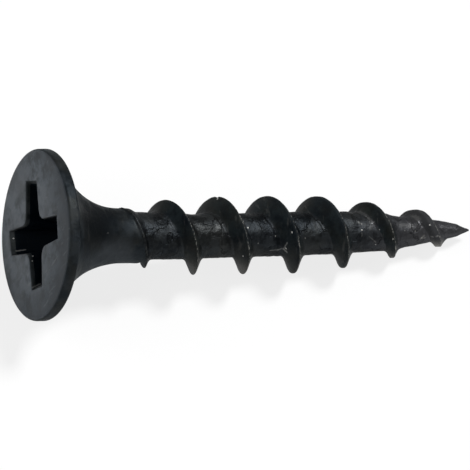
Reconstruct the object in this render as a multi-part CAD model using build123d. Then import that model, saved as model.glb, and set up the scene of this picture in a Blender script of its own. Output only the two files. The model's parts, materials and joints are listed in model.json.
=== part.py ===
from build123d import *
from math import atan2, cos, degrees, pi, radians, sin, sqrt, tan
import os

# A drywall screw of the nominal size 3.5 x 25, upset and rolled from one piece of wire: a bugle head with
# a cross recess, a coarse right-hand thread and a sharp point.
# Lengths are in millimetres and angles in degrees. A station is a distance along the screw's axis,
# counted from the flat face of the head towards the point.

# Whole screw
LENGTH = 24.3

# Head
HEAD_DIAMETER = 8.6
RIM_WIDTH = 0.58
FACE_EDGE_CHAMFER = 0.08
RIM_ROUND = 0.08
BUGLE_ARC_RADIUS = 4.3
BUGLE_ARC_ANGLE = 45.0

# Shank and thread core
NECK_DIAMETER = 2.76
NECK_STATION = 4.65
SHANK_END_STATION = 5.0
ROOT_START_STATION = 5.6
ROOT_DIAMETER = 2.40
ROOT_END_DIAMETER = 1.96

# Point: a long taper that ends in a short, blunter tip
POINT_LENGTH = 4.9
TIP_LENGTH = 0.75
TIP_DIAMETER = 0.68
TIP_END_DIAMETER = 0.08

# Thread
PITCH = 2.8
MAJOR_DIAMETER = 3.84
CREST_WIDTH = 0.15
FLANK_ANGLE = 29.5
THREAD_PHASE_STATION = 5.85
THREAD_START_STATION = 4.3
THREAD_START_DEPTH = 0.08
FULL_THREAD_STATION = 8.4

# The thread's run-out, as distances back from the point
TAPER_START_FROM_POINT = 8.2
TAPER_KNEE_FROM_POINT = 3.4
TAPER_KNEE_DIAMETER = 2.38
LAST_CREST_FROM_POINT = 1.5
LAST_CREST_DIAMETER = 1.6
THREAD_END_FROM_POINT = 0.5

# How the thread is built up: its foot ends inside the core, and it is made in short lengths
BURIED_SHARE = 0.85
LENGTHS_PER_TURN = 3
STEPS_PER_LENGTH = 6
TANGENT_STEP = 0.001

# Cross recess
RECESS_DIAMETER = 5.4
RECESS_DEPTH = 2.3
RECESS_OFFSET = 0.2
RECESS_OFFSET_ANGLE = 90.0
RECESS_TURN = -8.0
WING_WIDTH = 1.17
WING_END_SLOPE = 26.0
WING_SIDE_SLOPE = 4.0
CORE_DIAGONAL = 3.9
CORE_SLOPE = 19.0
CORE_POINT_DEPTH = 0.45

# Rest: which side of the screw is down when it lies on its rim and its thread
REST_SIDE_ANGLE = 60.0

head_radius = HEAD_DIAMETER / 2
neck_radius = NECK_DIAMETER / 2
root_radius = ROOT_DIAMETER / 2
root_end_radius = ROOT_END_DIAMETER / 2
major_radius = MAJOR_DIAMETER / 2
tip_radius = TIP_DIAMETER / 2
tip_end_radius = TIP_END_DIAMETER / 2
point_start = LENGTH - POINT_LENGTH
tip_start = LENGTH - TIP_LENGTH
taper_start = LENGTH - TAPER_START_FROM_POINT
taper_knee = LENGTH - TAPER_KNEE_FROM_POINT
last_crest = LENGTH - LAST_CREST_FROM_POINT
thread_end = LENGTH - THREAD_END_FROM_POINT


def along(station, knots):
    """The value at a station on straight lines between knots of (station, value)."""
    for (near, near_value), (far, far_value) in zip(knots, knots[1:]):
        if station <= far:
            share = max(station - near, 0.0) / (far - near)
            return near_value + share * (far_value - near_value)
    return knots[-1][1]


def core_radius(station):
    """The radius of the plain core under the thread."""
    return along(station, [
        (SHANK_END_STATION, neck_radius),
        (ROOT_START_STATION, root_radius),
        (point_start, root_end_radius),
        (tip_start, tip_radius),
        (LENGTH, tip_end_radius),
    ])


def buried_radius(station):
    """The radius at which the thread's foot ends, inside the core."""
    return BURIED_SHARE * min(core_radius(station), root_radius)


def crest_radius(station):
    """The radius of the thread's crest, which rises out of the shank and runs down to the point."""
    return along(station, [
        (THREAD_START_STATION, neck_radius - THREAD_START_DEPTH),
        (FULL_THREAD_STATION, major_radius),
        (taper_start, major_radius),
        (taper_knee, TAPER_KNEE_DIAMETER / 2),
        (last_crest, LAST_CREST_DIAMETER / 2),
        (thread_end, (1 + BURIED_SHARE) / 2 * buried_radius(thread_end) / BURIED_SHARE),
    ])


def make_core():
    """The head, bugle, shank, root and point as one turned body."""
    arc_angle = radians(BUGLE_ARC_ANGLE)
    half_angle = arc_angle / 2
    arc_middle = (
        neck_radius + BUGLE_ARC_RADIUS * (1 - cos(half_angle)),
        NECK_STATION - BUGLE_ARC_RADIUS * sin(half_angle),
    )
    arc_end = (
        neck_radius + BUGLE_ARC_RADIUS * (1 - cos(arc_angle)),
        NECK_STATION - BUGLE_ARC_RADIUS * sin(arc_angle),
    )
    axis_side = Line((0, LENGTH), (0, 0))
    face_side = Line((0, 0), (head_radius, 0))
    rim_side = Line((head_radius, 0), (head_radius, RIM_WIDTH))
    neck_arc = ThreePointArc(arc_end, arc_middle, (neck_radius, NECK_STATION))
    underside = TangentArc(arc_end, (head_radius, RIM_WIDTH), tangent=(sin(arc_angle), -cos(arc_angle)))
    shank_side = Polyline(
        (neck_radius, NECK_STATION),
        (neck_radius, SHANK_END_STATION),
        (root_radius, ROOT_START_STATION),
        (root_end_radius, point_start),
        (tip_radius, tip_start),
        (tip_end_radius, LENGTH),
        (0, LENGTH),
    )
    outline = make_face([axis_side, face_side, rim_side, underside, neck_arc, shank_side])
    face_corner = outline.vertices().sort_by_distance((head_radius, 0))[0]
    outline = chamfer(face_corner, FACE_EDGE_CHAMFER)
    back_corner = outline.vertices().sort_by_distance((head_radius, RIM_WIDTH))[0]
    outline = fillet(back_corner, RIM_ROUND)
    return revolve(Plane.XZ * outline, Axis.Z)


def thread_point(radius_at, side, foot, station):
    """A point of one of the thread's edges, on the head's side (-1) or the point's side (1) of the crest."""
    angle = 2 * pi * (station - THREAD_PHASE_STATION) / PITCH
    radius = radius_at(station)
    spread = CREST_WIDTH / 2
    if foot:
        spread += (crest_radius(station) - radius) * tan(radians(FLANK_ANGLE))
    return Vector(radius * cos(angle), radius * sin(angle), station + side * spread)


def thread_edge(radius_at, side, foot, start, end):
    """A length of one helical edge of the thread, which meets the next length without a corner."""
    stations = [start + (end - start) * step / STEPS_PER_LENGTH for step in range(STEPS_PER_LENGTH + 1)]
    points = [thread_point(radius_at, side, foot, station) for station in stations]
    tangents = []
    for station in (start, end):
        before = thread_point(radius_at, side, foot, max(station - TANGENT_STEP, THREAD_START_STATION))
        after = thread_point(radius_at, side, foot, min(station + TANGENT_STEP, thread_end))
        tangents.append((after - before).normalized())
    return Edge.make_spline(points, tangents=tangents)


def make_thread():
    """The thread as one closed helical body: a crest, two flanks and a foot inside the core."""
    corners = [
        (buried_radius, -1, True),
        (crest_radius, -1, False),
        (crest_radius, 1, False),
        (buried_radius, 1, True),
    ]
    run = thread_end - THREAD_START_STATION
    count = round(run / PITCH * LENGTHS_PER_TURN)
    faces = []
    for index in range(count):
        start = THREAD_START_STATION + run * index / count
        end = THREAD_START_STATION + run * (index + 1) / count
        edges = [thread_edge(*corner, start, end) for corner in corners]
        for edge, following in zip(edges, edges[1:] + edges[:1]):
            faces.append(Face.make_surface_from_curves(edge, following))
    for station in (THREAD_START_STATION, thread_end):
        section = [thread_point(*corner, station) for corner in corners]
        faces.append(Face(Wire.make_polygon(section, close=True)))
    return Solid(Shell(faces))


def tapered(sketch_at, depth):
    """A straight-sided hollow between a sketch at the face and the same sketch at a depth."""
    return loft([sketch_at(0.0), Pos(0, 0, depth) * sketch_at(depth)], ruled=True)


def make_recess():
    """The cross recess: two crossed tapering slots, a four-sided tapering core and its pointed floor."""

    def wing_pair(depth):
        span = RECESS_DIAMETER - 2 * depth * tan(radians(WING_END_SLOPE))
        width = WING_WIDTH - 2 * depth * tan(radians(WING_SIDE_SLOPE))
        return Rectangle(span, width)

    def core(depth):
        side = CORE_DIAGONAL / sqrt(2) - 2 * depth * tan(radians(CORE_SLOPE))
        return Rot(0, 0, 45) * Rectangle(side, side)

    slot = tapered(wing_pair, RECESS_DEPTH)
    middle = tapered(core, RECESS_DEPTH)
    floor_side = CORE_DIAGONAL / sqrt(2) - 2 * RECESS_DEPTH * tan(radians(CORE_SLOPE))
    floor_radius = floor_side / 2
    floor = Pos(0, 0, RECESS_DEPTH + CORE_POINT_DEPTH / 2) * Cone(floor_radius, 0, CORE_POINT_DEPTH)
    recess = slot + Rot(0, 0, 90) * slot + middle + floor
    offset_angle = radians(RECESS_OFFSET_ANGLE)
    offset = Pos(RECESS_OFFSET * cos(offset_angle), RECESS_OFFSET * sin(offset_angle), 0)
    return offset * Rot(0, 0, RECESS_TURN) * recess


def rest_tilt():
    """The axis's fall from head to point, when the rim and the first crest to reach the ground touch it."""
    first_pass = THREAD_PHASE_STATION + PITCH * REST_SIDE_ANGLE / 360
    slopes = []
    station = first_pass
    while station < thread_end:
        slopes.append((head_radius - crest_radius(station)) / (station - RIM_WIDTH + RIM_ROUND))
        station += PITCH
    return atan2(min(slopes), 1.0)


def lay_down(screw):
    """The screw on the ground, with its point towards +X and the middle of its box over the origin."""
    tilt = rest_tilt()
    lying = Plane(
        origin=(0, 0, 0),
        x_dir=(-sin(tilt), 0, -cos(tilt)),
        z_dir=(cos(tilt), 0, -sin(tilt)),
    )
    placed = lying.location * Rot(0, 0, -REST_SIDE_ANGLE) * screw
    box = placed.bounding_box()
    return Pos(-box.center().X, -box.center().Y, -box.min.Z) * placed


screw = make_core() + make_thread() - make_recess()
screw = lay_down(screw)
print("rest tilt, degrees", round(degrees(rest_tilt()), 3))
os.makedirs("parts", exist_ok=True)
export_step(screw, "parts/screw.step")
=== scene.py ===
"""A bugle-head drywall screw in black phosphate, lying on its rim and its thread on a pale floor.

The screw is modelled in its own frame, in millimetres: the axis is +Z, station 0 is the flat face of the
head, and an angle is counted from +X, which the photograph shows as the lower side. It is laid down in the
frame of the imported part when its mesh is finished.
"""

import json
import logging
import math
from dataclasses import dataclass, field
from enum import Enum
from functools import cached_property, reduce

import bmesh
import bpy
from bmesh.types import BMEdge, BMesh, BMFace, BMLayerItem, BMVert
from bpy.types import Material, Node, NodeSocket, NodeTree, Object
from mathutils import Matrix, Vector, noise


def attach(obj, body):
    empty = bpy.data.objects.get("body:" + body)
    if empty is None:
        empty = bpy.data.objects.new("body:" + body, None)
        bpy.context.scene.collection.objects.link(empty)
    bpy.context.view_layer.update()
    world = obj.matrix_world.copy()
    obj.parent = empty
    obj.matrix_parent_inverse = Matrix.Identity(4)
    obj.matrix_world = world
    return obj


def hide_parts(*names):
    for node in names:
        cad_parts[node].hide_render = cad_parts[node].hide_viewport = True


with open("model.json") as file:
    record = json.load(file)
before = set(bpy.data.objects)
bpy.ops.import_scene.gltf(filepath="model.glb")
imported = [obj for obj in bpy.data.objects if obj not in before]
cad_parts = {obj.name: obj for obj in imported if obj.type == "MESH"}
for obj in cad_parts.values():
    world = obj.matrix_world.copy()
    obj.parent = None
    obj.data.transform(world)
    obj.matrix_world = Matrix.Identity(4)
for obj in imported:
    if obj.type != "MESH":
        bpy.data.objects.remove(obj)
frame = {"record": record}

log = logging.getLogger("drywall_screw")

Knots = tuple[tuple[float, float], ...]
Triple = tuple[float, float, float]
Geometry = list[BMVert | BMEdge | BMFace]

MILLIMETRE = 0.001
STEPS_PER_TURN = 144
MERGE_DISTANCE = 0.0002
JOIN_DISTANCE = 0.0004
SLIVER_LENGTH = 0.00005
SEED_SHARES = (1.0, 0.7, 1.3)
MIX_FIRST, MIX_SECOND, MIX_RESULT = 6, 7, 2


class Surface(Enum):
    """The parts of the screw's surface that are finished differently, by material index."""

    FACE = 0
    SHANK = 1
    ROOT = 2
    THREAD = 3
    LIP = 4
    RECESS = 5


def along(station: float, knots: Knots) -> float:
    """Reads a broken line of sizes.

    Args:
        station: Where to read it, in millimetres.
        knots: Pairs of station and value, in order.

    Returns:
        The value at the station.
    """
    if station <= knots[0][0]:
        return knots[0][1]
    for (near, near_value), (far, far_value) in zip(knots, knots[1:]):
        if station <= far:
            return near_value + (far_value - near_value) * (station - near) / (far - near)
    return knots[-1][1]


def ease(value: float, start: float, end: float) -> float:
    """Turns smoothly from 0 at start to 1 at end.

    Args:
        value: Where to read it.
        start: Where it leaves 0.
        end: Where it reaches 1.

    Returns:
        A share from 0 to 1.
    """
    share = min(max((value - start) / (end - start), 0.0), 1.0)
    return share * share * (3.0 - 2.0 * share)


def soft_max(one: float, other: float, blend: float) -> float:
    """Takes the larger of two radii, with a concave fillet between them.

    Args:
        one: A radius.
        other: Another radius.
        blend: How far apart they are where the fillet ends.

    Returns:
        The blended radius.
    """
    near = max(blend - abs(one - other), 0.0) / blend
    return max(one, other) + near * near * blend / 4.0


def spin(bm: BMesh, points: list[Vector], rise: float = 0.0) -> None:
    """Spins a profile one turn round the screw's axis.

    Args:
        bm: The mesh that the skin goes into.
        points: The profile, in order.
        rise: How far the profile rises in that turn. With no rise, the skin closes on itself.
    """
    profile = [bm.verts.new(point) for point in points]
    bmesh.ops.spin(
        bm,
        geom=profile + [bm.edges.new(pair) for pair in zip(profile, profile[1:])],
        cent=(0.0, 0.0, 0.0),
        axis=(0.0, 0.0, 1.0),
        dvec=(0.0, 0.0, rise / STEPS_PER_TURN),
        angle=math.tau,
        steps=STEPS_PER_TURN,
        use_merge=rise == 0.0,
        use_normal_flip=False,
        use_duplicate=False,
    )


def only(kind: type, geometry: Geometry) -> Geometry:
    """Picks the points, edges or faces out of what an operator made."""
    return [item for item in geometry if isinstance(item, kind)]


def shown(name: str, data: bpy.types.ID) -> Object:
    """Puts an object into the scene.

    Args:
        name: Its name.
        data: Its mesh, lamp or camera.

    Returns:
        The object.
    """
    made = bpy.data.objects.new(name, data)
    bpy.context.scene.collection.objects.link(made)
    return made


@dataclass(frozen=True)
class Unevenness:
    """The small lumps and waves that heading and rolling leave in the metal."""

    size: float
    height: float
    seed: float

    def at(self, point: Vector) -> float:
        """Reads the lumps.

        Args:
            point: A point of the ideal surface, in millimetres.

        Returns:
            How far the surface stands out there, in millimetres.
        """
        place = point / self.size + Vector([self.seed * share for share in SEED_SHARES])
        return self.height * noise.noise(place)


@dataclass(frozen=True)
class Placement:
    """How the screw lies on the ground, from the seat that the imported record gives."""

    seat: str = "bugle_seat"
    seat_station: float = 0.58
    side_down: float = 60.0

    def matrix(self, record: dict) -> Matrix:
        """Works out the way from the screw's own frame to the part's.

        Args:
            record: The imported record.

        Returns:
            The matrix, which also turns millimetres into metres.
        """
        mount = next(entry for entry in record["mounts"] if entry["name"] == self.seat)
        axis = Vector(mount["axis"]).normalized()
        head = Vector(mount["pos_m"]) - axis * self.seat_station * MILLIMETRE
        down = Vector((0.0, 0.0, -1.0))
        down = (down - axis * down.dot(axis)).normalized()
        lying = Matrix((down, axis.cross(down), axis)).transposed().to_4x4()
        turned = Matrix.Rotation(math.radians(-self.side_down), 4, "Z")
        return Matrix.Translation(head) @ lying @ turned @ Matrix.Scale(MILLIMETRE, 4)


@dataclass(frozen=True)
class ThreadForm:
    """The sizes of the shank, the root and the coarse thread, in millimetres.

    Knots are pairs of station and size. A side is an angle round the axis, in degrees.
    """

    length: float = 24.29
    neck_station: float = 4.65
    neck_radius: float = 1.38
    root_radius: float = 1.2
    root_end_radius: float = 0.98
    point_station: float = 19.4
    tip_station: float = 23.55
    tip_radius: float = 0.36
    tip_end_radius: float = 0.03
    point_pinch: float = 0.1
    pinch_start: float = 1.6
    pinch_full: float = 0.4
    pitch: float = 2.8
    first_station: float = 5.85
    crests: Knots = (
        (3.9, 1.3), (4.45, 1.42), (5.85, 1.64), (8.4, 1.97), (15.0, 1.97),
        (16.1, 1.91), (20.9, 1.17), (22.8, 0.81), (23.7, 0.24), (24.1, -0.5),
    )
    crest_widths: Knots = ((5.5, 0.0), (7.0, 0.06), (12.5, 0.1), (14.2, 0.17), (19.0, 0.2), (22.6, 0.36))
    crest_rounding: float = 0.08
    lags: Knots = (
        (4.0, 0.12), (5.0, 0.17), (5.85, 0.15), (6.5, 0.0), (7.25, -0.12),
        (7.9, -0.05), (8.65, 0.03), (10.0, 0.0), (21.3, 0.0), (22.65, -0.14),
    )
    flank_angle: float = 29.5
    full_tooth: float = 0.72
    fillets: Knots = (
        (6.5, 0.2), (7.0, 0.45), (7.6, 0.45), (8.2, 0.2), (17.1, 0.23),
        (18.0, 0.45), (18.9, 0.45), (19.7, 0.26), (22.0, 0.3),
    )
    root_swells: Knots = ((8.65, -0.06), (14.3, 0.1), (17.1, 0.1), (20.0, -0.07))
    swell_flat: float = 0.1
    swell_reach: float = 0.8
    lap_offset: float = -0.7
    lap_height: float = 0.03
    lap_width: float = 0.06
    lap_side: float = 215.0
    lap_start: float = 6.5
    lap_full: float = 8.0
    step_station: float = 5.55
    step_swing: float = 0.28
    step_side: float = 20.0
    step_length: float = 0.5
    bow: Knots = (
        (5.0, 0.0), (8.0, 0.045), (16.0, 0.04), (18.2, -0.03), (20.5, -0.04), (22.5, -0.09), (24.3, -0.08),
    )

    def crest_station(self, turns: float) -> float:
        """Gives the station of the crest a number of turns past angle 0 of the first full tooth."""
        return self.first_station + self.pitch * turns

    def core_radius(self, station: float, angle: float) -> float:
        """Reads the shank, the root and the point under the thread.

        Args:
            station: Where along the axis.
            angle: Where round it, in radians.

        Returns:
            The radius of the plain core.
        """
        step = self.step_station + self.step_swing * math.cos(angle - math.radians(self.step_side))
        rolled = ease(station, step - self.step_length / 2, step + self.step_length / 2)
        root = along(station, (
            (self.step_station, self.root_radius),
            (self.point_station, self.root_end_radius),
            (self.tip_station, self.tip_radius),
            (self.length, self.tip_end_radius),
        ))
        root += (self.neck_radius - self.root_radius) * (1.0 - rolled)
        upper_side = max(-math.cos(angle), 0.0) ** 2
        for middle, height in self.root_swells:
            past = ease(abs(station - middle), self.swell_flat, self.swell_reach)
            root += height * upper_side * (1.0 - past)
        start, end = self.length - self.pinch_start, self.length - self.pinch_full
        pinch = self.point_pinch * ease(station, start, end)
        return root * (1.0 - pinch * math.cos(2.0 * angle))

    def radius(self, crest_station: float, offset: float, angle: float) -> float:
        """Reads the finished surface of one pitch of the thread.

        Args:
            crest_station: The station of the crest at this angle.
            offset: How far along the axis from that crest.
            angle: Where round the axis, in radians.

        Returns:
            The radius of the surface.
        """
        core = self.core_radius(crest_station + offset, angle)
        crest = along(crest_station, self.crests)
        aside = offset - along(crest_station, self.lags)
        width = along(crest_station, self.crest_widths)
        fall = (abs(aside) - width / 2) / math.tan(math.radians(self.flank_angle))
        ridge = -soft_max(-crest, fall - crest, self.crest_rounding)
        foot = aside - self.lap_offset * (crest - core) / self.full_tooth
        facing = (0.5 + 0.5 * math.cos(angle - math.radians(self.lap_side))) ** 2
        lap = self.lap_height * facing * math.exp(-((foot / self.lap_width) ** 2))
        lap *= ease(crest_station, self.lap_start, self.lap_full)
        return soft_max(core, ridge, along(crest_station, self.fillets)) + lap


@dataclass
class Shaft:
    """The shank, the thread and the point, rolled as one helical skin."""

    form: ThreadForm = field(default_factory=ThreadForm)
    half_rows: tuple[float, ...] = (
        0.035, 0.065, 0.09, 0.12, 0.16, 0.2, 0.25, 0.3, 0.35, 0.4, 0.45, 0.5,
        0.54, 0.58, 0.61, 0.64, 0.67, 0.7, 0.73, 0.77, 0.82, 0.88, 0.95, 1.03, 1.12, 1.21, 1.3, 1.4,
    )
    lead_steps: int = 137
    shank_margin: float = 0.1
    rise: float = 0.12
    thread_start: float = 5.6
    thread_full: float = 7.2
    wave: Unevenness = Unevenness(size=1.3, height=0.03, seed=4.0)
    wave_reach: float = 1.6
    wave_start: float = 5.0
    wave_full: float = 7.5
    end_reach: float = 0.0005
    # Along the crest's edge over this band the coating is marked pale: rubbed coating, and a painted
    # highlight along the edge.
    crest_band: float = 0.12
    edge_mark_flat: float = 0.015
    edge_mark_reach: float = 0.06
    nicks: Knots = ((10.05, 0.07), (12.2, 0.03), (16.4, 0.04), (18.9, 0.03))
    nick_length: float = 0.03
    rubbed_teeth: Knots = ((8.65, 0.7), (11.45, 0.8), (19.9, 0.8), (22.6, 2.4))
    rubbed_flat: float = 0.15
    rubbed_reach: float = 0.45

    def build(self, bm: BMesh) -> None:
        """Spins one pitch of the thread along the whole shaft and gives it its radius.

        Args:
            bm: The mesh that the shaft goes into.
        """
        crest_wear_and_highlight = bm.verts.layers.float.new("crest_wear_and_highlight")
        rubbed = bm.verts.layers.float.new("rubbed")
        form = self.form
        start = form.crest_station(-self.lead_steps / STEPS_PER_TURN)
        rows = [-row for row in reversed(self.half_rows)] + [0.0] + list(self.half_rows)
        place = Matrix.Rotation(-math.tau * self.lead_steps / STEPS_PER_TURN, 4, "Z")
        spin(bm, [place @ Vector((form.root_radius, 0.0, start + row)) for row in rows], form.pitch)
        first_turn = bm.verts[:] + bm.edges[:] + bm.faces[:]
        turns = math.ceil((form.length - start) / form.pitch + 0.5)
        for turn in range(1, turns):
            copied = bmesh.ops.duplicate(bm, geom=first_turn)["geom"]
            bmesh.ops.translate(bm, verts=only(BMVert, copied), vec=(0.0, 0.0, form.pitch * turn))
        heights = {vert: self._shape(vert, crest_wear_and_highlight, rubbed) for vert in bm.verts}
        for face in bm.faces:
            height = sum(heights[vert] for vert in face.verts) / len(face.verts)
            face.material_index = self._surface(face, height).value
        bmesh.ops.remove_doubles(bm, verts=bm.verts, dist=MERGE_DISTANCE)

    def _surface(self, face: BMFace, height: float) -> Surface:
        """Tells which finish a face of the skin takes.

        Args:
            face: The face, in its place.
            height: 0 on the root and 1 on the thread.

        Returns:
            The finish.
        """
        middle = face.calc_center_median()
        run_in = self.form.crest_station(math.atan2(middle.y, middle.x) / math.tau)
        if height < 0.5 and middle.z < run_in + self.shank_margin:
            return Surface.SHANK
        return Surface.THREAD if height > 0.5 else Surface.ROOT

    def _shape(self, vert: BMVert, crest_wear_and_highlight: BMLayerItem, rubbed: BMLayerItem) -> float:
        """Moves one point of the plain helical skin to the thread's surface.

        Args:
            vert: The point.
            crest_wear_and_highlight: The layer that takes how far the crest's edge is rubbed pale, which also
                stands as a painted highlight along that edge.
            rubbed: The layer that takes how much a tooth is rubbed pale.

        Returns:
            0 on the root and 1 on the thread's flanks and crest.
        """
        form = self.form
        angle = math.atan2(vert.co.y, vert.co.x)
        turn = angle / math.tau
        whole = round((vert.co.z - form.crest_station(turn)) / form.pitch)
        crest_station = form.crest_station(turn + whole)
        around = Vector((math.cos(angle), math.sin(angle), 0.0))
        centre_line = around * self.wave_reach + Vector((0.0, 0.0, crest_station))
        swing = self.wave.at(centre_line) * ease(crest_station, self.wave_start, self.wave_full)
        offset = vert.co.z - crest_station + swing
        radius = form.radius(crest_station, offset, angle)
        station = vert.co.z
        if station <= form.neck_station:
            station = form.neck_station
            radius = form.neck_radius
        if station >= form.length - self.end_reach:
            station = form.length
            radius = 0.0
        crest = along(crest_station, form.crests)
        core = form.core_radius(station, angle)
        height = ease(radius - core, 0.0, self.rise) if form.neck_station < station < form.length else 0.0
        if height > 0.0:
            for tooth, share in self.rubbed_teeth:
                near = 1.0 - ease(abs(crest_station - tooth), self.rubbed_flat, self.rubbed_reach)
                vert[rubbed] = max(vert[rubbed], share * near * ease(radius, core, crest))
        # Sets the pale mark on the crest's edge towards the point: rubbed coating, and a painted highlight
        # along it.
        if height > 0.0 and radius > crest - self.crest_band:
            edge = offset - along(crest_station, form.lags) - along(crest_station, form.crest_widths) / 2
            vert[crest_wear_and_highlight] = 1.0 - ease(abs(edge), self.edge_mark_flat, self.edge_mark_reach)
            for nick, depth in self.nicks:
                radius -= depth * max(1.0 - abs(crest_station - nick) / self.nick_length, 0.0)
        vert.co = around * radius + Vector((along(station, form.bow), 0.0, station))
        return height * ease(crest_station, self.thread_start, self.thread_full)


@dataclass
class CrossRecess:
    """The cross recess, as its punch left it: four wings, flared corners and a pointed floor."""

    corners: Knots = (
        (-2.683, 1.245), (-0.483, 1.2), (-0.173, 3.283), (1.017, 2.931),
        (0.907, 0.788), (2.747, 0.317), (2.537, -0.893), (0.587, -0.769),
        (0.157, -2.775), (-0.973, -2.579), (-0.763, -0.464), (-2.683, -0.025),
    )
    centre: tuple[float, float] = (0.007, 0.19)
    turn: float = -7.5
    outline_reach: float = 3.9
    inner_reach: float = 1.6
    inner_corner: float = 0.42
    outer_corner: float = 0.07
    lip: float = 0.07
    bevelled_depth: float = 0.16
    bevelled_slope: float = 40.0
    floor_reach: float = 1.6
    wing_start: float = 1.3
    wing_full: float = 2.4
    side_slope: float = 4.0
    core_slope: float = 14.0
    core_share: float = 0.6
    least_length: float = 0.2
    least_width: float = 0.1
    depth: float = 2.3
    point_depth: float = 2.75

    def build(self, bm: BMesh, rim: list[BMEdge]) -> None:
        """Fills the face round the recess and sinks the recess into it.

        Args:
            bm: The mesh that already holds the head.
            rim: The edges round the flat face.
        """
        base = bm.verts.layers.float_vector.new("recess_outline")
        face_ring = self._outline(bm, base)
        filled = bmesh.ops.triangle_fill(bm, use_beauty=True, edges=rim + face_ring, normal=(0.0, 0.0, -1.0))
        self._finish(filled["geom"], Surface.FACE)
        depths = (-0.6 * self.lip, 0.0, 0.08, self.bevelled_depth, 0.45, 0.8, 1.2, 1.6, 2.0, self.depth)
        ring = face_ring
        for depth in depths:
            grown = bmesh.ops.extrude_edge_only(bm, edges=ring)["geom"]
            # Walls below the bevel take the near-black recess finish, which is painted shade.
            wall = Surface.LIP if depth <= self.bevelled_depth else Surface.RECESS
            self._finish(grown, Surface.FACE if depth < 0.0 else wall)
            new_verts = only(BMVert, grown)
            ring = [edge for edge in only(BMEdge, grown) if all(vert in new_verts for vert in edge.verts)]
            for vert in new_verts:
                vert.co = self._wall(vert[base], depth)
        tip = bmesh.ops.extrude_edge_only(bm, edges=ring)["geom"]
        self._finish(tip, Surface.RECESS)
        tip_verts = only(BMVert, tip)
        for vert in tip_verts:
            vert.co = Vector((*self.centre, self.point_depth))
        bmesh.ops.remove_doubles(bm, verts=tip_verts, dist=0.001)
        for edge in face_ring:
            edge.smooth = False

    def _outline(self, bm: BMesh, base: BMLayerItem) -> list[BMEdge]:
        """Draws the recess's rounded outline on the face, at the top of the lip.

        Args:
            bm: The mesh that already holds the head.
            base: The layer that keeps each point of the outline for the walls under it.

        Returns:
            The edges of the outline.
        """
        outline = bm.faces.new([bm.verts.new((x, y, 0.0)) for x, y in self.corners])
        inner = [vert for vert in outline.verts if self._along_wing(vert.co) < self.inner_reach]
        outer = [vert for vert in outline.verts if vert not in inner]
        for verts, offset, segments in ((inner, self.inner_corner, 5), (outer, self.outer_corner, 2)):
            bmesh.ops.bevel(
                bm,
                geom=verts,
                offset=offset,
                offset_type="OFFSET",
                segments=segments,
                profile=0.5,
                affect="VERTICES",
                material=-1,
                clamp_overlap=True,
            )
        flat = [vert for vert in bm.verts if abs(vert.co.z) < 1e-6]
        on_outline = {vert for vert in flat if vert.co.xy.length < self.outline_reach}
        outline = next(face for face in bm.faces if on_outline.issuperset(face.verts))
        edges = list(outline.edges)
        verts = list(outline.verts)
        bmesh.ops.delete(bm, geom=[outline], context="FACES_ONLY")
        for vert in verts:
            vert[base] = vert.co
            vert.co = self._wall(vert[base], -self.lip)
        return edges

    @staticmethod
    def _finish(geometry: Geometry, surface: Surface) -> None:
        """Gives faces their finish.

        Args:
            geometry: What an operator made, with the faces in it.
            surface: Their finish.
        """
        for face in only(BMFace, geometry):
            face.material_index = surface.value

    def _from_centre(self, point: Vector) -> Vector:
        """Measures a point of the face from the recess's centre, along the two pairs of wings."""
        return Matrix.Rotation(math.radians(-self.turn), 2) @ (point.xy - Vector(self.centre))

    def _along_wing(self, point: Vector) -> float:
        """Measures how far from the recess's centre a point lies along its wing."""
        return max(abs(part) for part in self._from_centre(point))

    def _wall(self, outline: Vector, depth: float) -> Vector:
        """Finds the wall under a point of the outline.

        Args:
            outline: The point of the outline on the face.
            depth: How deep under the lip's rounding. A depth below 0 is on the rounding.

        Returns:
            The point of the wall.
        """
        turned = self._from_centre(outline)
        lengthwise = abs(turned.x) > abs(turned.y)
        far, near = (turned.x, turned.y) if lengthwise else (turned.y, turned.x)
        below = max(depth, 0.0)
        bevel = math.tan(math.radians(self.bevelled_slope))
        end = min(below, self.bevelled_depth) * bevel
        sunk = max(below - self.bevelled_depth, 0.0) / (self.depth - self.bevelled_depth)
        end += sunk * max(abs(far) - self.bevelled_depth * bevel - self.floor_reach, 0.0)
        core = below * math.tan(math.radians(self.core_slope))
        share = ease(abs(far), self.wing_start, self.wing_full)
        inward = core + (end - core) * share
        across = below * math.tan(math.radians(self.side_slope)) * share
        across += core * (1.0 - share) * self.core_share
        lip = self.lip * (min(depth, 0.0) / self.lip) ** 2
        far = math.copysign(max(abs(far) - inward + lip, self.least_length), far)
        near = math.copysign(max(abs(near) - across + lip, self.least_width), near)
        point = Vector((far, near)) if lengthwise else Vector((near, far))
        placed = Matrix.Rotation(math.radians(self.turn), 2) @ point + Vector(self.centre)
        return Vector((placed.x, placed.y, self.lip + depth))


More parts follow.
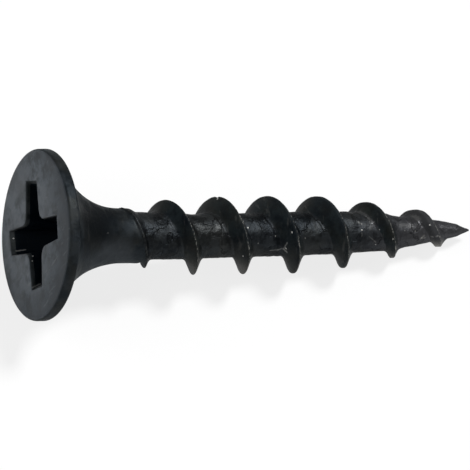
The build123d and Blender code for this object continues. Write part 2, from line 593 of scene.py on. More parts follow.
@dataclass
class BugleHead:
    """The flat face, the rim and the trumpet-shaped underside down to the neck."""

    form: ThreadForm = field(default_factory=ThreadForm)
    radius: float = 4.295
    rim_width: float = 0.58
    rim_rows: tuple[float, float] = (0.6, 0.38)
    face_chamfer: float = 0.16
    chamfer_steps: int = 5
    face_share: float = 0.2
    rim_round: float = 0.09
    round_steps: int = 4
    arc_radius: float = 4.3
    arc_angle: float = 45.0
    arc_steps: int = 30
    underside_steps: int = 22

    def _profile(self) -> list[Vector]:
        """Lays out the half section from the neck to the edge of the face.

        Returns:
            Its points, in the XZ plane.
        """
        neck, station = self.form.neck_radius, self.form.neck_station
        points = []
        for step in range(self.arc_steps + 1):
            turn = math.radians(self.arc_angle) * step / self.arc_steps
            points.append(Vector((
                neck + self.arc_radius * (1.0 - math.cos(turn)),
                0.0,
                station - self.arc_radius * math.sin(turn),
            )))
        arc_end = points[-1]
        angle = math.radians(self.arc_angle)
        heading = Vector((math.sin(angle), 0.0, -math.cos(angle)))
        side = Vector((-heading.z, 0.0, heading.x))
        chord = Vector((self.radius, 0.0, self.rim_width)) - arc_end
        bend = chord.length_squared / (2.0 * chord.dot(side))
        sweep = 2.0 * math.asin(chord.length / (2.0 * abs(bend)))
        for step in range(1, self.underside_steps + 1):
            turn = sweep * step / self.underside_steps
            forward = abs(bend) * math.sin(turn)
            aside = bend * (1.0 - math.cos(turn))
            points.append(arc_end + heading * forward + side * aside)
        corner = points.pop()
        inward = (points[-1] - corner).normalized() * self.rim_round
        faceward = Vector((0.0, 0.0, -self.rim_round))
        for step in range(self.round_steps + 1):
            turn = math.pi / 2 * step / self.round_steps
            points.append(corner + inward * (1.0 - math.sin(turn)) + faceward * (1.0 - math.cos(turn)))
        points += [Vector((self.radius, 0.0, self.rim_width * share)) for share in self.rim_rows]
        for step in range(self.chamfer_steps + 1):
            turn = math.pi / 2 * step / self.chamfer_steps
            points.append(Vector((
                self.radius - self.face_chamfer * (1.0 - math.cos(turn)),
                0.0,
                self.face_chamfer * (1.0 - math.sin(turn)),
            )))
        return points

    def build(self, bm: BMesh) -> list[BMEdge]:
        """Spins the head.

        Args:
            bm: An empty mesh.

        Returns:
            The edges round the flat face.
        """
        spin(bm, self._profile())
        for face in bm.faces:
            on_edge = face.calc_center_median().z < self.face_chamfer * self.face_share
            face.material_index = (Surface.FACE if on_edge else Surface.SHANK).value
        bmesh.ops.remove_doubles(bm, verts=bm.verts, dist=MERGE_DISTANCE)
        flat = {vert for vert in bm.verts if abs(vert.co.z) < 1e-5}
        rim = [edge for edge in bm.edges if edge.is_boundary and flat.issuperset(edge.verts)]
        for edge in rim:
            edge.smooth = False
        return rim


@dataclass(frozen=True)
class PhotoCamera:
    """The camera that took the photograph, seen from the middle of the head's face, in metres."""

    from_head: Triple = (-0.09130376, -0.15177349, 0.28261200)
    right: Triple = (0.94934527, -0.22092889, 0.22345912)
    up: Triple = (0.08555363, 0.86597933, 0.4927072)
    lens: float = 512.9
    sensor: float = 36.0

    def build(self, head: Vector) -> Object:
        """Makes the camera and gives it to the scene.

        Args:
            head: The middle of the head's face, in the part's frame.

        Returns:
            The camera's object.
        """
        data = bpy.data.cameras.new("photo_camera")
        data.lens = self.lens
        data.sensor_width = self.sensor
        data.clip_start = 0.01
        data.clip_end = 20.0
        camera = shown("photo_camera", data)
        right, up = Vector(self.right), Vector(self.up)
        turn = Matrix((right, up, right.cross(up))).transposed().to_4x4()
        camera.matrix_world = Matrix.Translation(head + Vector(self.from_head)) @ turn
        bpy.context.scene.camera = camera
        return camera


class Graph:
    """A node tree being wired, with short calls for the nodes that the finishes use.

    A value is an output socket, a number, a vector, or a colour of three numbers.
    """

    def __init__(self, tree: NodeTree) -> None:
        """Empties the tree.

        Args:
            tree: The node tree to wire.
        """
        self.tree = tree
        tree.nodes.clear()

    def put(self, value: object, socket: NodeSocket) -> None:
        """Links or sets one input.

        Args:
            value: The value.
            socket: The input.
        """
        if isinstance(value, NodeSocket):
            self.tree.links.new(value, socket)
        else:
            socket.default_value = (*value, 1.0) if socket.type == "RGBA" else value

    def node(self, kind: str, *values: object, **settings: object) -> Node:
        """Adds a node.

        Args:
            kind: Its type without ShaderNode, such as TexNoise.
            values: Values for its first inputs, in order.
            settings: Values of its properties.

        Returns:
            The node.
        """
        made = self.tree.nodes.new(kind if kind.startswith("Node") else "ShaderNode" + kind)
        for name, setting in settings.items():
            setattr(made, name, setting)
        for value, socket in zip(values, made.inputs):
            self.put(value, socket)
        return made

    def feed(self, node: Node, **inputs: object) -> Node:
        """Sets or links inputs of a node by name.

        Args:
            node: The node.
            inputs: Values by input name, with _ for a space.

        Returns:
            The same node.
        """
        for name, value in inputs.items():
            self.put(value, node.inputs[name.replace("_", " ")])
        return node

    def math(self, operation: str, *values: object, clamp: bool = False) -> NodeSocket:
        """Adds a Math node.

        Args:
            operation: Its operation, such as MULTIPLY.
            values: Its values, in order.
            clamp: Whether the result stays from 0 to 1.

        Returns:
            Its output.
        """
        return self.node("Math", *values, operation=operation, use_clamp=clamp).outputs[0]

    def largest(self, masks: list[NodeSocket]) -> NodeSocket:
        """Takes the largest of some masks."""
        return reduce(lambda one, other: self.math("MAXIMUM", one, other), masks)

    def vector(self, operation: str, one: object, other: object) -> NodeSocket:
        """Adds a Vector Math node.

        Args:
            operation: Its operation, such as DISTANCE.
            one: Its first vector.
            other: Its second vector.

        Returns:
            Its output, which is a number for DISTANCE and DOT_PRODUCT.
        """
        made = self.node("VectorMath", one, other, operation=operation)
        return made.outputs["Value" if operation in ("DISTANCE", "DOT_PRODUCT") else "Vector"]

    def spread(
        self, value: NodeSocket, low: object, high: object, to: tuple[float, float] = (0.0, 1.0)
    ) -> NodeSocket:
        """Maps a range smoothly to another.

        Args:
            value: The socket to map.
            low: Where the result starts.
            high: Where it ends.
            to: The results at those two.

        Returns:
            The mapped socket.
        """
        return self.node("MapRange", value, low, high, *to, interpolation_type="SMOOTHSTEP").outputs[0]

    def mix(self, share: object, one: object, other: object) -> NodeSocket:
        """Mixes two colours.

        Args:
            share: How much of the other, from 0 to 1.
            one: A colour.
            other: Another colour.

        Returns:
            The mixed colour.
        """
        made = self.node("Mix", share, data_type="RGBA")
        self.put(one, made.inputs[MIX_FIRST])
        self.put(other, made.inputs[MIX_SECOND])
        return made.outputs[MIX_RESULT]

    def noise(
        self, place: NodeSocket, scale: object, detail: float = 3.0, roughness: float = 0.5
    ) -> NodeSocket:
        """Adds a noise texture.

        Args:
            place: Where it is read.
            scale: How many waves to a unit.
            detail: How many finer waves.
            roughness: How strong those are.

        Returns:
            Its value.
        """
        made = self.feed(self.node("TexNoise"), Vector=place, Scale=scale, Detail=detail, Roughness=roughness)
        return made.outputs[0]

    def stretched(self, place: NodeSocket, scale: Triple, turn: Triple = (0.0, 0.0, 0.0)) -> NodeSocket:
        """Turns and scales coordinates.

        Args:
            place: The coordinates.
            scale: Their factors.
            turn: Their turn, in degrees.

        Returns:
            The new coordinates.
        """
        angles = tuple(math.radians(part) for part in turn)
        return self.feed(self.node("Mapping"), Vector=place, Scale=scale, Rotation=angles).outputs[0]

    def effect(self, group: NodeTree, place: NodeSocket, **values: object) -> NodeSocket:
        """Places a shared effect.

        Args:
            group: The effect's group.
            place: The coordinates that it reads.
            values: Its own values, by input name.

        Returns:
            Its output.
        """
        return self.feed(self.node("Group", node_tree=group), Place=place, **values).outputs[0]


class EffectGroup(Graph):
    """A shared effect being wired: a group that reads coordinates and values and puts out one value."""

    def __init__(self, name: str, output: str = "Mask", **inputs: object) -> None:
        """Starts the group.

        Args:
            name: The group's name.
            output: The name of its output.
            inputs: Its inputs besides Place, with their usual values.
        """
        super().__init__(bpy.data.node_groups.new(name, "ShaderNodeTree"))
        for label, value in {"Place": (0.0, 0.0, 0.0), **inputs}.items():
            kind = "NodeSocketVector" if isinstance(value, tuple) else "NodeSocketFloat"
            self.tree.interface.new_socket(name=label, in_out="INPUT", socket_type=kind).default_value = value
        self.tree.interface.new_socket(name=output, in_out="OUTPUT", socket_type="NodeSocketFloat")
        self.given = self.node("NodeGroupInput").outputs
        self.place = self["Place"]

    def __getitem__(self, label: str) -> NodeSocket:
        """Gives one of the group's inputs, for use inside it."""
        return self.given[label]

    def give(self, value: NodeSocket) -> NodeTree:
        """Links what the group puts out.

        Args:
            value: The finished mask or height.

        Returns:
            The finished group.
        """
        self.node("NodeGroupOutput", value)
        return self.tree


@dataclass(frozen=True)
class PaleStroke:
    """A short pale line from one point to another, in millimetres of the part's frame; some are scratches and
    some are painted highlights.
    """

    start: Triple
    end: Triple
    reach: float
    share: float


@dataclass
class Effects:
    """The effects that the finishes share, each a node group that is made when it is first used.

    Grains and pale lines are placed in millimetres of the part's frame. A grain is a point and a radius. The
    grains are dirt, and the two in the recess are painted glints; the pale lines are scratches and painted
    highlights.
    """

    grains_of_dust_and_glints: tuple[tuple[float, float, float, float], ...] = (
        # The second and third grains here lie in the recess: painted glints.
        (-11.899, 1.393, 1.57, 0.035), (-11.607, -0.515, 3.102, 0.04), (-11.704, -0.779, 3.097, 0.03),
        (-8.216, -0.764, 5.28, 0.025), (-1.649, 1.401, 3.865, 0.06), (-0.88, -1.689, 3.286, 0.035),
        (-0.584, 0.056, 3.712, 0.03), (-0.389, -0.332, 3.695, 0.035), (0.101, -1.007, 3.202, 0.02),
        (1.054, -0.743, 3.303, 0.02), (1.59, -1.287, 2.912, 0.05), (1.75, -0.919, 3.926, 0.045),
        (2.411, -0.755, 3.124, 0.015), (2.726, -0.811, 2.942, 0.022), (5.934, -0.463, 2.606, 0.03),
        (6.724, -0.992, 1.893, 0.025), (6.905, -0.475, 2.502, 0.018), (7.497, -1.059, 2.455, 0.03),
        (8.395, -0.444, 2.076, 0.022), (8.998, -0.426, 1.898, 0.025), (9.409, -0.657, 1.518, 0.035),
        (9.809, -0.231, 2.047, 0.04),
    )
    scratches_and_highlights: tuple[PaleStroke, ...] = (
        # Painted highlights: lit strips on the recess's walls.
        PaleStroke((-11.876, 0.732, 1.455), (-11.433, 0.672, 1.605), 0.055, 0.6),
        PaleStroke((-11.906, -2.089, 2.726), (-11.47, -1.953, 2.773), 0.08, 0.35),
        PaleStroke((0.811, -1.206, 2.688), (1.31, -1.18, 2.64), 0.06, 0.45),
        PaleStroke((1.25, -1.18, 2.64), (1.527, -1.22, 2.742), 0.09, 0.7),
        PaleStroke((1.527, -1.22, 2.742), (1.595, -1.17, 3.29), 0.07, 0.55),
        PaleStroke((1.527, -1.22, 2.742), (1.634, -1.375, 2.73), 0.11, 0.8),
        # Painted highlights on the battered flanks of the fifth and sixth teeth.
        PaleStroke((5.824, -0.05, 2.715), (5.982, -0.157, 2.668), 0.08, 0.5),
        PaleStroke((5.91, -0.598, 2.55), (5.906, -0.725, 2.443), 0.06, 0.4),
        PaleStroke((6.326, -0.731, 2.351), (6.704, -0.925, 2.038), 0.06, 0.3),
        PaleStroke((6.164, 0.749, 2.287), (6.465, 0.191, 2.542), 0.18, 0.2),
        PaleStroke((6.465, 0.191, 2.542), (6.575, -0.093, 2.578), 0.18, 0.22),
        PaleStroke((6.395, -0.394, 2.551), (6.535, -0.247, 2.566), 0.14, 0.2),
        PaleStroke((8.236, -0.164, 2.201), (8.858, -0.17, 2.032), 0.2, 0.2),
        PaleStroke((9.1, 0.45, 1.77), (9.274, 0.254, 1.879), 0.25, 0.25),
        PaleStroke((9.335, -0.679, 1.508), (9.519, -0.566, 1.578), 0.09, 0.75),
        PaleStroke((9.547, -0.639, 1.462), (10.214, -0.716, 1.701), 0.08, 0.6),
    )
    seam_fade: float = 0.1
    scratch_fade: float = 0.12
    patch_swing: float = 1.6
    rubbed_share: float = 0.33
    broken_edge_from: float = 0.47
    broken_edge_to: float = 0.62
    least_speck: float = 0.4

    @cached_property
    def mottle(self) -> NodeTree:
        """Makes the cloudy patches of a phosphate coating.

        Returns:
            The group.
        """
        group = EffectGroup("phosphate_mottle", Scale=1.2, Contrast=0.2)
        low = group.math("SUBTRACT", 0.5, group["Contrast"])
        high = group.math("ADD", 0.5, group["Contrast"])
        return group.give(group.spread(group.noise(group.place, group["Scale"], 5.0, 0.62), low, high))

    @cached_property
    def patch(self) -> NodeTree:
        """Makes a patch round a point that fades, unevenly, between two distances from it.

        Returns:
            The group.
        """
        group = EffectGroup("uneven_patch", Centre=(0.0, 0.0, 0.0), Gone=3.0, Full=1.0, Share=0.8)
        wander = group.math("SUBTRACT", group.noise(group.place, 0.9, 4.0, 0.6), 0.5)
        away = group.vector("DISTANCE", group.place, group["Centre"])
        uneven = group.math("ADD", away, group.math("MULTIPLY", wander, self.patch_swing))
        inside = group.spread(uneven, group["Gone"], group["Full"])
        return group.give(group.math("MULTIPLY", inside, group["Share"]))

    @cached_property
    def seams(self) -> NodeTree:
        """Makes the fine curled laps that rolling folds into the root, as thin lines in patches.

        Returns:
            The group.
        """
        group = EffectGroup("rolled_seams", Scale=1.5, Width=0.012, Share=0.5)
        curls = group.noise(group.place, group["Scale"], 2.0, 0.45)
        away = group.math("ABSOLUTE", group.math("SUBTRACT", curls, 0.5))
        line = group.spread(away, group["Width"], 0.0)
        low = group.math("SUBTRACT", 1.0, group["Share"])
        kept = group.spread(group.noise(group.place, 0.9, 2.0), low, group.math("ADD", low, self.seam_fade))
        return group.give(group.math("MULTIPLY", line, kept))

    @cached_property
    def rubbed_and_edge_highlight(self) -> NodeTree:
        """Makes the rubbed coating of the crest's edge, broken up by a fine noise, which also stands as a
        painted highlight along that edge, and of whole teeth.

        Returns:
            The group.
        """
        group = EffectGroup("rubbed_coating_and_edge_highlight", Edge=0.0, Teeth=0.0, Share=1.0)
        broken = group.spread(group.noise(group.place, 8.0, 3.0, 0.75), self.broken_edge_from, self.broken_edge_to)
        edge = group.math("MULTIPLY", group["Edge"], broken)
        teeth = group.math("MULTIPLY", group["Teeth"], self.rubbed_share)
        bared_and_highlit = group.math("MAXIMUM", edge, teeth)
        return group.give(group.math("MULTIPLY", bared_and_highlit, group["Share"], clamp=True))

    @cached_property
    def scratches(self) -> NodeTree:
        """Makes fine straight lines along the stretched direction of the coordinates.

        Returns:
            The group.
        """
        group = EffectGroup("fine_scratches", Scale=2.0, Threshold=0.62)
        lines = group.noise(group.place, group["Scale"], 4.0, 0.7)
        top = group.math("ADD", group["Threshold"], self.scratch_fade)
        return group.give(group.spread(lines, group["Threshold"], top))

    @cached_property
    def marks_and_highlights(self) -> NodeTree:
        """Makes the single pale lines, each along its own run and broken up by a fine noise: scratches, and
        painted highlights on the recess's walls and on the fifth and sixth teeth.

        Returns:
            The group.
        """
        group = EffectGroup("placed_scratches_and_highlights", Size=1.0)
        ragged = group.math("MULTIPLY", group.noise(group.place, 12.0, 2.0), group["Size"])
        lines = []
        for stroke in self.scratches_and_highlights:
            run = Vector(stroke.end) - Vector(stroke.start)
            past = group.vector("SUBTRACT", group.place, stroke.start)
            along_run = group.vector("DOT_PRODUCT", past, run)
            share = group.math("MULTIPLY", along_run, 1.0 / run.length_squared, clamp=True)
            away = group.vector("DISTANCE", past, group.vector("MULTIPLY", share, run))
            reach = group.math("MULTIPLY", ragged, 2.0 * stroke.reach)
            lines.append(group.spread(away, reach, 0.0, (0.0, stroke.share)))
        return group.give(group.largest(lines))

    @cached_property
    def dust_and_glints(self) -> NodeTree:
        """Makes the single pale grains, each at its own place: grains of dirt on the screw, and painted
        glints in the recess.

        Returns:
            The group.
        """
        group = EffectGroup("placed_dust_and_glints", Size=1.0)
        ragged = group.math("MULTIPLY", group.noise(group.place, 16.0, 2.0), group["Size"])
        grains = []
        for x, y, z, radius in self.grains_of_dust_and_glints:
            away = group.vector("DISTANCE", group.place, (x, y, z))
            grains.append(group.math("LESS_THAN", away, group.math("MULTIPLY", ragged, 2.0 * radius)))
        return group.give(group.largest(grains))

    @cached_property
    def specks(self) -> NodeTree:
        """Makes sparse pale specks of dirt and uncoated metal, one at most to a cell.

        Returns:
            The group.
        """
        group = EffectGroup("pale_specks", Scale=2.0, Radius=0.08, Share=0.1)
        cells = group.feed(group.node("TexVoronoi"), Vector=group.place, Scale=group["Scale"])
        draws = group.node("SeparateColor", cells.outputs["Color"]).outputs
        radius = group.math("MULTIPLY", group["Radius"], group.math("ADD", draws[1], self.least_speck))
        dot = group.math("LESS_THAN", cells.outputs["Distance"], radius)
        kept = group.math("LESS_THAN", draws[0], group["Share"])
        return group.give(group.math("MULTIPLY", dot, kept))

    @cached_property
    def grain(self) -> NodeTree:
        """Makes the fine grain and the rolled dimples of the coating, as heights.

        Returns:
            The group.
        """
        group = EffectGroup("coating_grain", "Height", Fine=30.0, Coarse=4.0, Grit=0.1, Dimples=0.6)
        fine = group.noise(group.place, group["Fine"], 3.0, 0.6)
        coarse = group.noise(group.place, group["Coarse"], 4.0, 0.55)
        dimples = group.math("MULTIPLY", coarse, group["Dimples"])
        return group.give(group.math("ADD", group.math("MULTIPLY", fine, group["Grit"]), dimples))


@dataclass(frozen=True)
class Patch:
    """Where another colour grows from nothing to full, between two distances from a point."""

    centre: Triple
    gone: float
    full: float
    colour: Triple
    share: float


# Painted shade: the face, the lip and the recess turn towards a flat dark grey away from a point near the
# face's middle, for how the light falls across the head.
FACE_PAINTED_SHADE = Patch((-11.85, 0.9, 3.6), 2.2, 5.4, (0.016, 0.020, 0.025), 0.8)
# Painted shade: the bugle is made near black round a point just under the rim, where the rim shades it.
BUGLE_PAINTED_SHADE = Patch((-9.2, 0.6, 5.3), 3.0, 1.3, (0.0035, 0.005, 0.0065), 0.85)
# Painted light: the neck and bugle are made paler round a point on their lower side, for light thrown up from
# the floor.
NECK_PAINTED_BOUNCE_LIGHT = Patch((-8.3, -2.2, 3.4), 2.3, 1.4, (0.042, 0.0475, 0.053), 0.85)
PALE_POINT = Patch((12.33, 0.0, 0.7), 5.6, 2.0, (0.042, 0.042, 0.045), 0.75)
PALE_TIP = Patch((12.33, 0.0, 0.7), 8.0, 2.0, (0.068, 0.068, 0.073), 0.9)

SEAM_COLOUR = (0.0015, 0.002, 0.0025)
SCRATCH_AND_HIGHLIGHT_COLOUR = (0.2, 0.2, 0.195)
DUST_AND_GLINT_COLOUR = (0.38, 0.38, 0.36)


@dataclass(frozen=True)
class BlackPhosphate:
    """A black phosphate coating on steel, as one surface of the screw wears it.

    Where the surface is partly metallic, a dark specular tint dims what it mirrors at a grazing angle.
    """

    name: str
    dark: Triple
    light: Triple
    tint: Triple
    bare_and_highlight: Triple
    tint_share: float
    roughness: tuple[float, float]
    specular: float
    patches: tuple[Patch, ...]
    specular_tint: Triple = (0.86, 0.95, 1.0)
    metallic: float = 0.0
    brushed: Triple = (3.0, 0.4, 0.4)
    brush_tilt: float = 8.7
    cloud_turn: Triple = (30.0, 0.0, 50.0)
    seam_share: float = 0.0
    seam_darkness: float = 0.58
    seam_depth: float = 0.55
    oil: float = 0.0
    oil_roughness: float = 0.2
    grit: float = 0.12
    dimples: float = 0.4
    bump: float = 0.5
    bump_height: float = 0.05 * MILLIMETRE
    speck_share: float = 0.05
    scratch_share: float = 0.1
    wear_and_highlight_share: float = 0.0

    def build(self, effects: Effects) -> Material:
        """Makes the material.

        Args:
            effects: The shared node groups.

        Returns:
            The material.
        """
        material = bpy.data.materials.new(self.name)
        material.use_nodes = True
        graph = Graph(material.node_tree)
        place = graph.stretched(graph.node("TexCoord").outputs["Object"], (1.0 / MILLIMETRE,) * 3)
        mottle = graph.effect(effects.mottle, place, Scale=1.3, Contrast=0.1)
        turned = graph.stretched(place, (1.0, 1.0, 1.0), self.cloud_turn)
        cloud = graph.effect(effects.mottle, turned, Scale=0.5, Contrast=0.12)
        seams = graph.effect(effects.seams, place, Scale=1.3, Width=0.024, Share=self.seam_share)
        coated = graph.mix(mottle, self.dark, self.light)
        coated = graph.mix(graph.math("MULTIPLY", cloud, self.tint_share), coated, self.tint)
        for patch in self.patches:
            inside = graph.effect(
                effects.patch, place, Centre=patch.centre, Gone=patch.gone, Full=patch.full, Share=patch.share
            )
            coated = graph.mix(inside, coated, patch.colour)
        coated = graph.mix(graph.math("MULTIPLY", seams, self.seam_darkness), coated, SEAM_COLOUR)
        grain = graph.effect(
            effects.grain, place, Fine=14.0, Coarse=4.5, Grit=self.grit, Dimples=self.dimples
        )
        height = graph.math("SUBTRACT", grain, graph.math("MULTIPLY", seams, self.seam_depth))
        bump = graph.feed(graph.node("Bump"), Strength=self.bump, Distance=self.bump_height, Height=height)
        shader = graph.feed(
            graph.node("BsdfPrincipled"),
            Base_Color=self._marked(graph, effects, place, coated),
            Roughness=graph.spread(mottle, 0.0, 1.0, self.roughness),
            Normal=bump.outputs[0],
            Specular_IOR_Level=self.specular,
            Specular_Tint=self.specular_tint,
            Metallic=self.metallic,
        )
        if self.oil > 0.0:
            graph.feed(
                shader, Coat_Weight=graph.math("MULTIPLY", cloud, self.oil), Coat_Roughness=self.oil_roughness
            )
        graph.node("OutputMaterial", shader.outputs[0])
        return material

    def _marked(self, graph: Graph, effects: Effects, place: NodeSocket, coated: NodeSocket) -> NodeSocket:
        """Lays rubbed coating, fine scratches, pale lines, specks and grains over the coating's colour. The
        crest's rubbed edge is also a painted highlight, the pale lines are scratches and painted highlights,
        and the grains are dirt and painted glints.

        Args:
            graph: The material's graph.
            effects: The shared node groups.
            place: Object coordinates, in millimetres.
            coated: The colour of the coating.

        Returns:
            The finished colour.
        """
        drawn = graph.stretched(place, self.brushed, (0.0, self.brush_tilt, 0.0))
        lines = graph.effect(effects.scratches, drawn, Scale=1.6, Threshold=0.57)
        # The crest's edge mark is rubbed coating and also a painted highlight along that edge.
        edge = graph.node("Attribute", attribute_name="crest_wear_and_highlight").outputs["Fac"]
        teeth = graph.node("Attribute", attribute_name="rubbed").outputs["Fac"]
        rubbed_and_edge_highlight = graph.effect(effects.rubbed_and_edge_highlight, place, Edge=edge, Teeth=teeth, Share=self.wear_and_highlight_share)
        bared_and_highlit = graph.math("MAXIMUM", graph.math("MULTIPLY", lines, self.scratch_share), rubbed_and_edge_highlight)
        colour = graph.mix(bared_and_highlit, coated, self.bare_and_highlight)
        # The single pale lines: scratches, and painted highlights on the recess's walls and on the fifth and
        # sixth teeth.
        colour = graph.mix(graph.effect(effects.marks_and_highlights, place, Size=1.0), colour, SCRATCH_AND_HIGHLIGHT_COLOUR)
        specks = graph.effect(effects.specks, place, Scale=1.5, Radius=0.042, Share=self.speck_share)
        # The grains are dirt on the screw and painted glints in the recess.
        dust_and_glints = graph.effect(effects.dust_and_glints, place, Size=1.0)
        return graph.mix(graph.math("MAXIMUM", specks, dust_and_glints), colour, DUST_AND_GLINT_COLOUR)


FINISHES = {
    Surface.FACE: BlackPhosphate(
        name="phosphate_face",
        dark=(0.022, 0.027, 0.032),
        light=(0.090, 0.103, 0.117),
        tint=(0.090, 0.098, 0.108),
        bare_and_highlight=(0.16, 0.17, 0.18),
        tint_share=0.5,
        roughness=(0.6, 0.72),
        specular=0.2,
        patches=(FACE_PAINTED_SHADE,),
        brushed=(2.5, 2.5, 0.3),
        dimples=0.3,
        bump=0.4,
        scratch_share=0.3,
    ),
    Surface.SHANK: BlackPhosphate(
        name="phosphate_shank",
        dark=(0.012, 0.0155, 0.0185),
        light=(0.026, 0.0315, 0.0365),
        tint=(0.031, 0.0312, 0.028),
        bare_and_highlight=(0.12, 0.12, 0.11),
        tint_share=0.5,
        roughness=(0.46, 0.6),
        specular=0.12,
        patches=(BUGLE_PAINTED_SHADE, NECK_PAINTED_BOUNCE_LIGHT),
        specular_tint=(0.40, 0.42, 0.43),
        metallic=0.6,
        seam_share=0.3,
        grit=0.35,
        dimples=0.8,
        speck_share=0.3,
        wear_and_highlight_share=0.6,
    ),
    Surface.ROOT: BlackPhosphate(
        name="phosphate_root",
        dark=(0.009, 0.011, 0.013),
        light=(0.028, 0.0325, 0.0365),
        tint=(0.030, 0.0315, 0.0305),
        bare_and_highlight=(0.12, 0.12, 0.11),
        tint_share=0.6,
        roughness=(0.36, 0.5),
        specular=0.27,
        patches=(PALE_TIP,),
        specular_tint=(0.27, 0.28, 0.29),
        metallic=0.75,
        seam_share=0.54,
        oil=0.04,
        oil_roughness=0.22,
        grit=0.45,
        dimples=0.8,
        bump=0.8,
        speck_share=0.25,
        wear_and_highlight_share=0.6,
    ),
    Surface.THREAD: BlackPhosphate(
        name="phosphate_thread",
        dark=(0.004, 0.006, 0.008),
        light=(0.010, 0.014, 0.016),
        tint=(0.018, 0.017, 0.012),
        bare_and_highlight=(0.21, 0.205, 0.19),
        tint_share=0.4,
        roughness=(0.5, 0.6),
        specular=0.06,
        patches=(PALE_POINT,),
        grit=0.15,
        dimples=0.5,
        speck_share=0.15,
        wear_and_highlight_share=1.0,
    ),
    Surface.LIP: BlackPhosphate(
        name="phosphate_lip",
        dark=(0.003, 0.005, 0.006),
        light=(0.018, 0.022, 0.025),
        tint=(0.014, 0.014, 0.012),
        bare_and_highlight=(0.06, 0.06, 0.055),
        tint_share=0.4,
        roughness=(0.4, 0.55),
        specular=0.2,
        patches=(FACE_PAINTED_SHADE,),
        grit=0.25,
        dimples=0.8,
    ),
    # Painted shade: the recess below the lip is coloured near black, far darker than the lip above it, for
    # the shade deep inside it.
    Surface.RECESS: BlackPhosphate(
        name="phosphate_recess_painted_shade",
        dark=(0.0002, 0.0015, 0.0032),
        light=(0.0006, 0.0024, 0.0050),
        tint=(0.0010, 0.0024, 0.0040),
        bare_and_highlight=(0.03, 0.03, 0.028),
        tint_share=0.4,
        roughness=(0.45, 0.6),
        specular=0.03,
        patches=(FACE_PAINTED_SHADE,),
    ),
}


@dataclass
class DrywallScrew:
    """The whole screw, one piece of wire, headed, punched and rolled.

    The lumps lie on all of it but the flat face, and are lower where the metal is turned or well rolled.
    """

    shaft: Shaft = field(default_factory=Shaft)
    head: BugleHead = field(default_factory=BugleHead)
    recess: CrossRecess = field(default_factory=CrossRecess)
    placement: Placement = field(default_factory=Placement)
    lumps: tuple[Unevenness, ...] = (
        Unevenness(size=0.75, height=0.022, seed=11.0),
        Unevenness(size=0.25, height=0.022, seed=23.0),
    )
    axis_reach: float = 0.02
    smooth_station: float = 0.7
    rolled_station: float = 6.5
    turned_lumps: float = 0.15
    point_length: float = 3.0
    point_calm: float = 0.6
    flank_start: float = 1.3
    flank_full: float = 1.7
    flank_calm: float = 0.65
    tooth_share: float = 1.3
    crest_margin: float = 0.02
    head_skew: float = 0.025
    head_shift: float = 0.05
    skew_station: float = 1.5
    shank_offset: tuple[float, float] = (0.087, -0.05)
    offset_start: float = 1.2
    offset_full: float = 4.0

    def build(self, effects: Effects) -> Object:
        """Models the screw, lays it down and dresses it.

        Args:
            effects: The shared node groups.

        Returns:
            The screw's object.
        """
        bm = bmesh.new()
        self.recess.build(bm, self.head.build(bm))
        headed = bpy.data.meshes.new("headed_wire")
        bm.to_mesh(headed)
        bm.clear()
        self.shaft.build(bm)
        bm.from_mesh(headed)
        bpy.data.meshes.remove(headed)
        bmesh.ops.remove_doubles(bm, verts=bm.verts, dist=JOIN_DISTANCE)
        bmesh.ops.dissolve_degenerate(bm, dist=SLIVER_LENGTH, edges=bm.edges)
        self._roughen(bm)
        bmesh.ops.recalc_face_normals(bm, faces=bm.faces)
        open_edges = sum(1 for edge in bm.edges if not edge.is_manifold)
        log.info("screw: %d faces, %d open edges", len(bm.faces), open_edges)
        for face in bm.faces:
            face.smooth = True
        bmesh.ops.transform(bm, matrix=self.placement.matrix(frame["record"]), verts=bm.verts)
        mesh = bpy.data.meshes.new("rolled_screw")
        bm.to_mesh(mesh)
        bm.free()
        screw = shown("rolled_screw", mesh)
        for surface, finish in FINISHES.items():
            log.info("finish %d: %s", surface.value, finish.name)
            mesh.materials.append(finish.build(effects))
        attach(screw, "root")
        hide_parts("screw")
        return screw

    def _roughen(self, bm: BMesh) -> None:
        """Skews the head, sets the shank aside and gives the screw the small lumps of the real one.

        Args:
            bm: The screw's mesh, in its own frame.
        """
        form = self.shaft.form
        for vert in bm.verts:
            reach = vert.co.xy.length
            around = Vector((vert.co.x, vert.co.y, 0.0)) / max(reach, self.axis_reach)
            aside = Vector((*self.shank_offset, 0.0)) * ease(vert.co.z, self.offset_start, self.offset_full)
            skewed = 1.0 - ease(vert.co.z, self.skew_station, form.neck_station)
            vert.co.z += (self.head_shift - self.head_skew * vert.co.x) * skewed
            vert.co += aside
            if reach < self.axis_reach or vert.co.z < self.smooth_station:
                continue
            rolled = ease(vert.co.z, form.neck_station, self.rolled_station)
            amount = self.turned_lumps + (1.0 - self.turned_lumps) * rolled
            amount *= 1.0 - self.point_calm * ease(vert.co.z, form.length - self.point_length, form.length)
            amount *= 1.0 - self.flank_calm * ease(reach, self.flank_start, self.flank_full) * rolled
            push = sum(lump.at(vert.co) for lump in self.lumps) * amount
            if vert.co.z > form.neck_station and reach > self.tooth_share * form.root_radius:
                limit = along(vert.co.z, form.crests) - self.crest_margin
                push = min(push, max(limit - reach, 0.0))
            vert.co += around * push


@dataclass(frozen=True)
class Lamp:
    """A soft round lamp that looks at the screw."""

    name: str
    way: Triple
    distance: float
    size: float
    power: float

    def build(self) -> None:
        """Makes the lamp."""
        data = bpy.data.lights.new(self.name, "AREA")
        data.energy = self.power
        data.shape = "DISK"
        data.size = self.size
        lamp = shown(self.name, data)
        way = Vector(self.way).normalized()
        lamp.location = way * self.distance
        lamp.rotation_euler = way.to_track_quat("Z", "Y").to_euler()


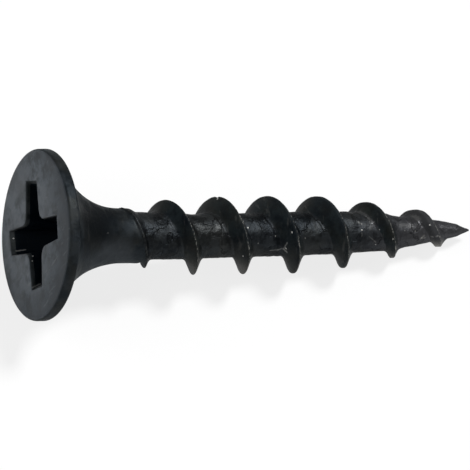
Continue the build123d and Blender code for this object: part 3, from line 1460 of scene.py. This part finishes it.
@dataclass(frozen=True)
class Studio:
    """The pale floor, the sky, and a key and a fill lamp."""

    floor_size: float = 6.0
    floor_colour: Triple = (0.9, 0.9, 0.9)
    floor_glow: float = 0.8
    white: Triple = (1.0, 1.0, 1.0)
    horizon: float = 0.05
    overhead: float = 0.75
    sky_low: float = 0.34
    sky_high: float = 0.12
    lamps: tuple[Lamp, ...] = (
        Lamp("key_lamp", (0.34, 0.2, 0.92), 0.6, 0.15, 3.3),
        Lamp("fill_lamp", (-0.8, -0.05, 0.6), 0.6, 0.45, 1.2),
    )

    def build(self) -> None:
        """Makes the floor, the lamps and the sky."""
        self._floor()
        for lamp in self.lamps:
            lamp.build()
        self._sky()
        log.info("studio: floor, %d lamps and sky", len(self.lamps))

    def _floor(self) -> None:
        """Makes the floor, which keeps the screw's shadow and otherwise looks white to the camera."""
        bm = bmesh.new()
        bmesh.ops.create_grid(bm, x_segments=1, y_segments=1, size=self.floor_size / 2)
        mesh = bpy.data.meshes.new("floor")
        bm.to_mesh(mesh)
        bm.free()
        material = bpy.data.materials.new("pale_floor")
        material.use_nodes = True
        graph = Graph(material.node_tree)
        paint = graph.feed(graph.node("BsdfDiffuse"), Color=self.floor_colour)
        glow = graph.feed(graph.node("Emission"), Color=self.white, Strength=1.0)
        path = graph.node("LightPath").outputs
        seen = graph.largest([path[f"Is {kind} Ray"] for kind in ("Camera", "Glossy", "Transmission")])
        share = graph.math("MULTIPLY", seen, self.floor_glow)
        mixed = graph.node("MixShader", share, paint.outputs[0], glow.outputs[0])
        graph.node("OutputMaterial", mixed.outputs[0])
        mesh.materials.append(material)
        floor = shown("floor", mesh)

    def _sky(self) -> None:
        """Makes the sky, pale near the floor and dim overhead, as round a photographer's table."""
        world = bpy.data.worlds.new("studio")
        bpy.context.scene.world = world
        world.use_nodes = True
        graph = Graph(world.node_tree)
        way = graph.node("SeparateXYZ", graph.node("TexCoord").outputs["Generated"])
        light = graph.spread(way.outputs["Z"], self.horizon, self.overhead, (self.sky_low, self.sky_high))
        background = graph.feed(graph.node("Background"), Color=self.white, Strength=light)
        graph.node("OutputWorld", background.outputs[0])


def main() -> None:
    """Builds the camera, the screw and the studio, and logs what it made."""
    logging.basicConfig(level=logging.INFO, format="%(name)s: %(message)s")
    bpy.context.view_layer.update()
    bpy.context.scene.view_settings.view_transform = "Standard"
    camera = PhotoCamera().build(Placement().matrix(frame["record"]).translation)
    log.info("camera: %s", camera.name)
    screw = DrywallScrew().build(Effects())
    log.info("piece: %s", screw.name)
    Studio().build()


if __name__ == "__main__":
    main()
